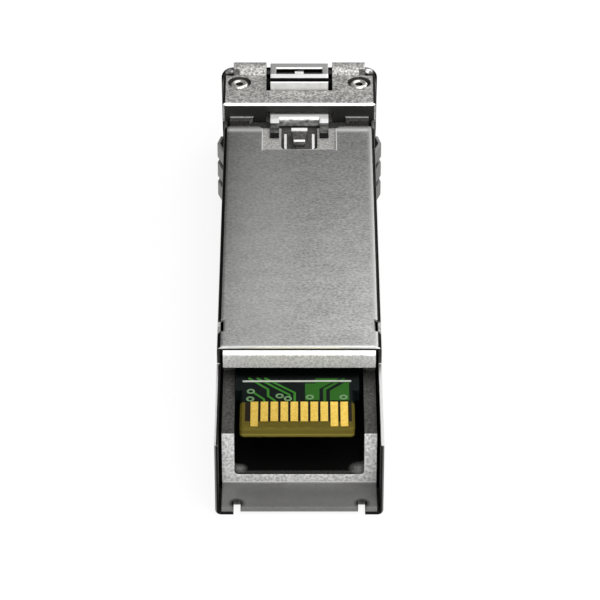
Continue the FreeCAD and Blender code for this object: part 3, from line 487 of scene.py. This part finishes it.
actuator_steel = Finish("actuator_steel", Metallic=1.0, Roughness=0.58)
satin = actuator_steel.grain(0.5 * mm, 0.12 * mm, 0.5 * mm)
bright_satin = actuator_steel.blend(satin, colour(222, 222, 220), colour(246, 246, 244))
mottle = actuator_steel.spread(actuator_steel.grain(0.5 * mm, 0.4 * mm, 0.3 * mm), 0.3, 0.7)
shaded_satin = actuator_steel.blend(mottle, colour(52, 52, 51), colour(128, 128, 126))
mottled_satin = actuator_steel.blend(mottle, colour(118, 118, 116), colour(240, 240, 238))
actuator_highlight = colour(255, 255, 255)
# Painted light and shade: the tines' slopes and tips, the crossbar's face, the frame's groove and the
# inside of the window are painted dark as shade; the tines' flats, the crossbar's top and the window's
# edges are painted white as highlights.
actuator_areas = {
    "slopes of the tines": (at(-2.7, 43, 8), at(2.7, 45.75, 9), shaded_satin),
    "tips of the tines": (at(-2.7, 43, 8), at(2.7, 44.3, 9), unlit),
    "flats of the tines": (at(-2.7, 45.75, 8.5), at(2.7, 46.5, 9), actuator_highlight),
    "face of the crossbar": (at(-1.95, 46.3, 7.5), at(1.95, 46.7, 8.45), mottled_satin),
    "top of the crossbar": (at(-2.7, 46.95, 8.5), at(2.7, 47.6, 9), actuator_highlight),
    "frame round the window": (at(-2.7, 51.3, 10.2), at(2.7, 54, 11), colour(176, 176, 175)),
    "far edge of the window": (at(-2.1, 52.4, 10.2), at(2.1, 52.66, 11), actuator_highlight),
    "bar before the window": (at(-2.7, 50.64, 10.2), at(2.7, 51.46, 11), actuator_highlight),
    "groove of the frame": (at(-2.7, 50.1, 9.2), at(2.7, 50.74, 11), unlit),
    "inside of the window": (at(-2.09, 51.4, 7), at(2.09, 52.55, 10.2), unlit),
}
actuator_steel.feed("Base Color", actuator_steel.paint(bright_satin, actuator_areas))
actuator_steel.feed("Normal", actuator_steel.soft_edges(0.18 * mm))
dress(actuator_steel, "latch_actuator")


# Nose screws: two small countersunk screws, turned from steel, with a hexagon socket in a dished head.
# They go through the lid's nose into threads in the tray, and hold the two castings together.

screw_low, screw_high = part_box("nose_screws")
screw_top = screw_high.z
head_radius = 0.95 * mm
dish_depth = 0.10 * mm
socket_radius = 0.36 * mm
socket_depth = 0.25 * mm
screw_steel = Finish("screw_steel", Base_Color=colour(216, 214, 210), Metallic=1.0, Roughness=0.3)
# The socket's walls and floor are painted in shade.
socket_shade = Finish("socket_shade", Base_Color=unlit, Metallic=1.0, Roughness=0.5)
screws = bmesh.new()
for side in (-1, 1):
    axis = Vector((
        side * (screw_high.x - head_radius), (screw_low.y + screw_high.y) / 2, 0))
    profile = [
        screws.verts.new(axis + Vector((radius * mm, 0, screw_top - drop * mm)))
        for radius, drop in (
            (0.40, 0.10), (0.46, 0.02), (0.58, 0.0), (0.70, 0.05), (0.90, 0.30), (0.95, 0.42),
            (0.50, 0.50), (0.50, 2.60))]
    outline = [screws.edges.new(pair) for pair in zip(profile, profile[1:])]
    bmesh.ops.spin(
        screws, geom=profile + outline, cent=axis, axis=(0, 0, 1), angle=math.tau, steps=48,
        use_merge=True)
    rim = [
        edge for edge in screws.edges if edge.is_boundary
        and all(abs(vert.co.z - screw_top + dish_depth) < 0.001 * mm for vert in edge.verts)
        and (edge.verts[0].co - axis).xy.length < 0.45 * mm]
    socket = bmesh.ops.create_circle(
        screws, cap_ends=False, segments=6, radius=socket_radius,
        matrix=Matrix.Translation(axis + Vector((0, 0, screw_top - 1.2 * dish_depth))))["verts"]
    socket_rim = list({edge for vert in socket for edge in vert.link_edges})
    bmesh.ops.bridge_loops(screws, edges=rim + socket_rim)
    walls = bmesh.ops.extrude_edge_only(screws, edges=socket_rim)["geom"]
    bottom = [part for part in walls if isinstance(part, bmesh.types.BMVert)]
    bmesh.ops.translate(screws, verts=bottom, vec=(0, 0, -socket_depth))
    recess = [part for part in walls if isinstance(part, bmesh.types.BMFace)]
    for face in recess + bmesh.ops.contextual_create(screws, geom=bottom)["faces"]:
        face.material_index = 1
bmesh.ops.recalc_face_normals(screws, faces=screws.faces)
for face in screws.faces:
    face.smooth = len(face.verts) == 4
screw_mesh = bpy.data.meshes.new("nose_screw_heads")
screws.to_mesh(screw_mesh)
screws.free()
screw_mesh.materials.append(screw_steel.material)
screw_mesh.materials.append(socket_shade.material)
screw_heads = bpy.data.objects.new("nose_screw_heads", screw_mesh)
bpy.context.collection.objects.link(screw_heads)
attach(screw_heads, "module")
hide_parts("nose_screws")


# Sheet cover: a sleeve folded from thin stainless sheet and slid over both castings. Its top keeps the
# mill's fine grain. The top is painted darker from its middle towards the nose as painted shade, the
# folds are painted dark as shade, and the rolled and cut edges carry painted highlights.

cover_steel = Finish("cover_steel", Metallic=1.0, Specular_Tint=colour(140, 140, 140))
mill_grain = cover_steel.grain(0.24 * mm, 0.14 * mm, 0.14 * mm)
mill_cloud = cover_steel.grain(3.0 * mm, 1.5 * mm, 1.5 * mm)
mill_tone = cover_steel.spread(0.8 * mill_grain + 0.2 * mill_cloud, 0.32, 0.68)
across = cover_steel.along("X")
forward = cover_steel.along("Y")
# Painted shade: the top grows darker from its middle towards the nose.
far_shading = cover_steel.spread(forward, at(0, 20, 0).y, at(0, 44, 0).y)
cover_skin = cover_steel.blend(
    mill_tone,
    cover_steel.blend(far_shading, colour(152, 152, 151), colour(122, 122, 121)),
    cover_steel.blend(far_shading, colour(208, 208, 207), colour(176, 176, 175)))
# White for painted highlights, dark grey for painted shade and mid grey for painted half shade.
cover_highlight = colour(250, 250, 249)
in_shade = colour(56, 56, 55)
half_shade = colour(112, 112, 111)
# More painted shade on the far left of the top, and painted light on its left middle.
left_side = cover_steel.spread(across, at(-3.6, 0, 0).x, at(-6.4, 0, 0).x)
far_half = cover_steel.spread(forward, at(0, 18, 0).y, at(0, 28, 0).y)
cover_skin = cover_steel.blend(0.2 * left_side * far_half, cover_skin, in_shade)
left_middle = cover_steel.spread(across, at(0.3, 0, 0).x, at(-2.2, 0, 0).x)
left_middle = left_middle * cover_steel.spread(across, at(-6.3, 0, 0).x, at(-4.8, 0, 0).x)
cover_skin = cover_steel.blend(0.13 * left_middle * (1 - 0.5 * far_shading), cover_skin, cover_highlight)
# Painted highlights along the top's far and near edges and beside the right fold.
far_edge_highlight = cover_steel.within(at(-6.5, 44.2, 8.2), at(6.5, 45.3, 8.6))
far_edge_highlight = far_edge_highlight * cover_steel.spread(forward, at(0, 44.25, 0).y, at(0, 44.7, 0).y)
far_edge_highlight = far_edge_highlight * cover_steel.spread(forward, at(0, 45.2, 0).y, at(0, 44.8, 0).y)
near_edge_highlight = cover_steel.within(at(-6.4, 11.1, 8.4), at(6.4, 11.6, 8.6))
near_edge_highlight = near_edge_highlight * cover_steel.spread(forward, at(0, 11.5, 0).y, at(0, 11.2, 0).y)
right_fold_highlight = cover_steel.within(at(5.9, 11.2, 8.4), at(6.4, 45, 8.6))
right_fold_highlight = right_fold_highlight * cover_steel.spread(across, at(5.93, 0, 0).x, at(6.3, 0, 0).x)
cover_skin = cover_steel.blend(far_edge_highlight, cover_skin, colour(236, 236, 235))
cover_skin = cover_steel.blend(near_edge_highlight, cover_skin, cover_highlight)
cover_skin = cover_steel.blend(right_fold_highlight, cover_skin, colour(198, 198, 197))
# Painted highlights on the near cut edge and the skirts' top edges, with painted shade under the cut
# edge and inside the left skirt's edge.
cover_areas = {
    "near cut edge": (at(-6.6, 11.1, 8.33), at(6.6, 11.2, 8.6), cover_highlight),
    "foot of the near cut edge": (at(-6.6, 11.1, 8.2), at(6.6, 11.2, 8.33), in_shade),
    "edge of the left skirt": (at(-6.75, 0.02, 6.8), at(-6.58, 11.1, 6.9), cover_highlight),
    "inside of the left edge": (at(-6.58, 0.02, 6.8), at(-6.1, 11.1, 6.9), in_shade),
    "edge of the right skirt": (at(6.1, 0.02, 6.8), at(6.75, 11.1, 6.9), colour(222, 222, 221)),
}
# Painted highlights on the sides of the cut-out; painted shade on the folds, the walls' near edges, the
# gaps and the skirts' near ends; painted half shade inside the skirts and on the near ends' outsides.
cover_side_areas = {
    "sides of the cut-out": (at(3.2, 41.3, 8.2), at(3.33, 45.4, 8.6), cover_highlight),
    "folds": (at(6.4, 11.2, 8.2), at(6.75, 45.4, 8.6), in_shade),
    "spring fingers": (at(6.72, 42.5, 1), at(7.4, 46.4, 7.4), colour(172, 172, 171)),
    "near edges of the walls": (at(6.3, 11.1, 6.9), at(6.68, 11.25, 8.3), in_shade),
    "insides of the skirts": (at(6.1, 0.02, 0.02), at(6.68, 11.1, 6.8), half_shade),
    "gaps beside the tray's walls": (at(6.1, 3.15, 0.02), at(6.68, 11.1, 5.7), in_shade),
    "near ends of the skirts": (at(4.2, -0.1, -0.1), at(6.58, 0.02, 6.84), unlit),
    "outsides of the near ends": (at(6.58, -0.1, -0.1), at(6.75, 0.02, 6.84), half_shade),
}
cover_skin = cover_steel.paint(cover_skin, cover_areas)
cover_skin = cover_steel.paint(cover_skin, cover_side_areas, both_sides=True)
cover_steel.feed("Base Color", cover_skin)
cover_steel.feed("Roughness", 0.44 - 0.1 * mill_tone)
cover_steel.roughen(mill_grain, 0.003 * mm, 0.05 * mm)
dress(cover_steel, "sheet_cover")


# Floor: a plain white table under the module. The camera and the metal see it as white, and enough of
# the module's shadow is kept to show that it lies there.

floor_size = 4.0
floor_drop = 0.01 * mm
floor_glow = 0.85
floor_shape = bmesh.new()
bmesh.ops.create_grid(
    floor_shape, x_segments=1, y_segments=1, size=floor_size / 2,
    matrix=Matrix.Translation((0, 0, cad_box[0][2] - floor_drop)))
floor_mesh = bpy.data.meshes.new("floor")
floor_shape.to_mesh(floor_mesh)
floor_shape.free()
floor = bpy.data.objects.new("floor", floor_mesh)
bpy.context.collection.objects.link(floor)
white_table = Finish(
    "white_table", Base_Color=(0.92, 0.92, 0.92, 1.0), Roughness=0.9, Specular_IOR_Level=0.0)
rays = white_table.wire.node("ShaderNodeLightPath", {}, {}, "Is Camera Ray")
glossy = white_table.wire.node("ShaderNodeLightPath", {}, {}, "Is Glossy Ray")
through = white_table.wire.node("ShaderNodeLightPath", {}, {}, "Is Transmission Ray")
glow = white_table.wire.node("ShaderNodeEmission", {}, {"Strength": 1.0})
lit = Wire(white_table.tree, white_table.shader.outputs["BSDF"])
seen = white_table.wire.node(
    "ShaderNodeMixShader", {}, {0: (rays + glossy + through) * floor_glow, 1: lit, 2: glow})
output = white_table.tree.nodes["Material Output"]
white_table.tree.links.new(seen.socket, output.inputs["Surface"])
floor_mesh.materials.append(white_table.material)


# Light and camera: a dim even room with soft boxes above the camera, overhead and low in front, one
# behind that grades the cover, a strip for the folds on the right and a panel on each side. The camera
# stands where the photograph's lines of sight meet.

scene = bpy.context.scene
scene.view_settings.view_transform = "Standard"

room = bpy.data.worlds.new("room")
room.use_nodes = True
room.node_tree.nodes["Background"].inputs["Color"].default_value = (1, 1, 1, 1)
room.node_tree.nodes["Background"].inputs["Strength"].default_value = 0.3
scene.world = room


def soft_box(name, place, aim, width, height, radiance):
    """A flat soft light that shines from place to aim, its power worked out from its radiance."""
    light = bpy.data.lights.new(name, "AREA")
    light.shape = "RECTANGLE"
    light.size = width
    light.size_y = height
    light.energy = radiance * math.pi * width * height
    lamp = bpy.data.objects.new(name, light)
    bpy.context.collection.objects.link(lamp)
    lamp.location = place
    lamp.rotation_euler = (Vector(aim) - Vector(place)).to_track_quat("-Z", "Y").to_euler()
    lamp.visible_camera = False


soft_box("key", (0.06, -0.26, 0.30), (0, -0.02, 0), 0.34, 0.30, 2.7)
soft_box("overhead", (0.05, -0.10, 0.30), (0, -0.02, 0), 0.34, 0.30, 1.6)
soft_box("front", (0.04, -0.30, 0.08), (0, -0.02, 0.004), 0.30, 0.08, 4.4)
soft_box("behind", (0.10, 0.072, 0.10), (0.10, -0.02, 0.008), 0.20, 0.07, 1.6)
soft_box("right_strip", (0.10, 0.17, 0.045), (0, 0, 0.005), 0.08, 0.07, 3.0)
soft_box("left_panel", (-0.45, -0.02, 0.14), (0, 0, 0), 0.5, 0.22, 0.9)
soft_box("right_panel", (0.45, -0.02, 0.14), (0, 0, 0), 0.5, 0.22, 0.9)

photo_width = 600
focal_pixels = 3549.8
optical_centre = (299.3, 296.255)
eye = Vector((0, -0.25265, 0.1737))
looks_down = math.radians(34.224)

lens = bpy.data.cameras.new("camera")
lens.lens = lens.sensor_width * focal_pixels / photo_width
lens.shift_x = (photo_width / 2 - optical_centre[0]) / photo_width
lens.shift_y = (optical_centre[1] - photo_width / 2) / photo_width
lens.clip_start = 0.01
camera = bpy.data.objects.new("camera", lens)
bpy.context.collection.objects.link(camera)
camera.location = eye
camera.rotation_euler = (math.pi / 2 - looks_down, 0, 0)
scene.camera = camera
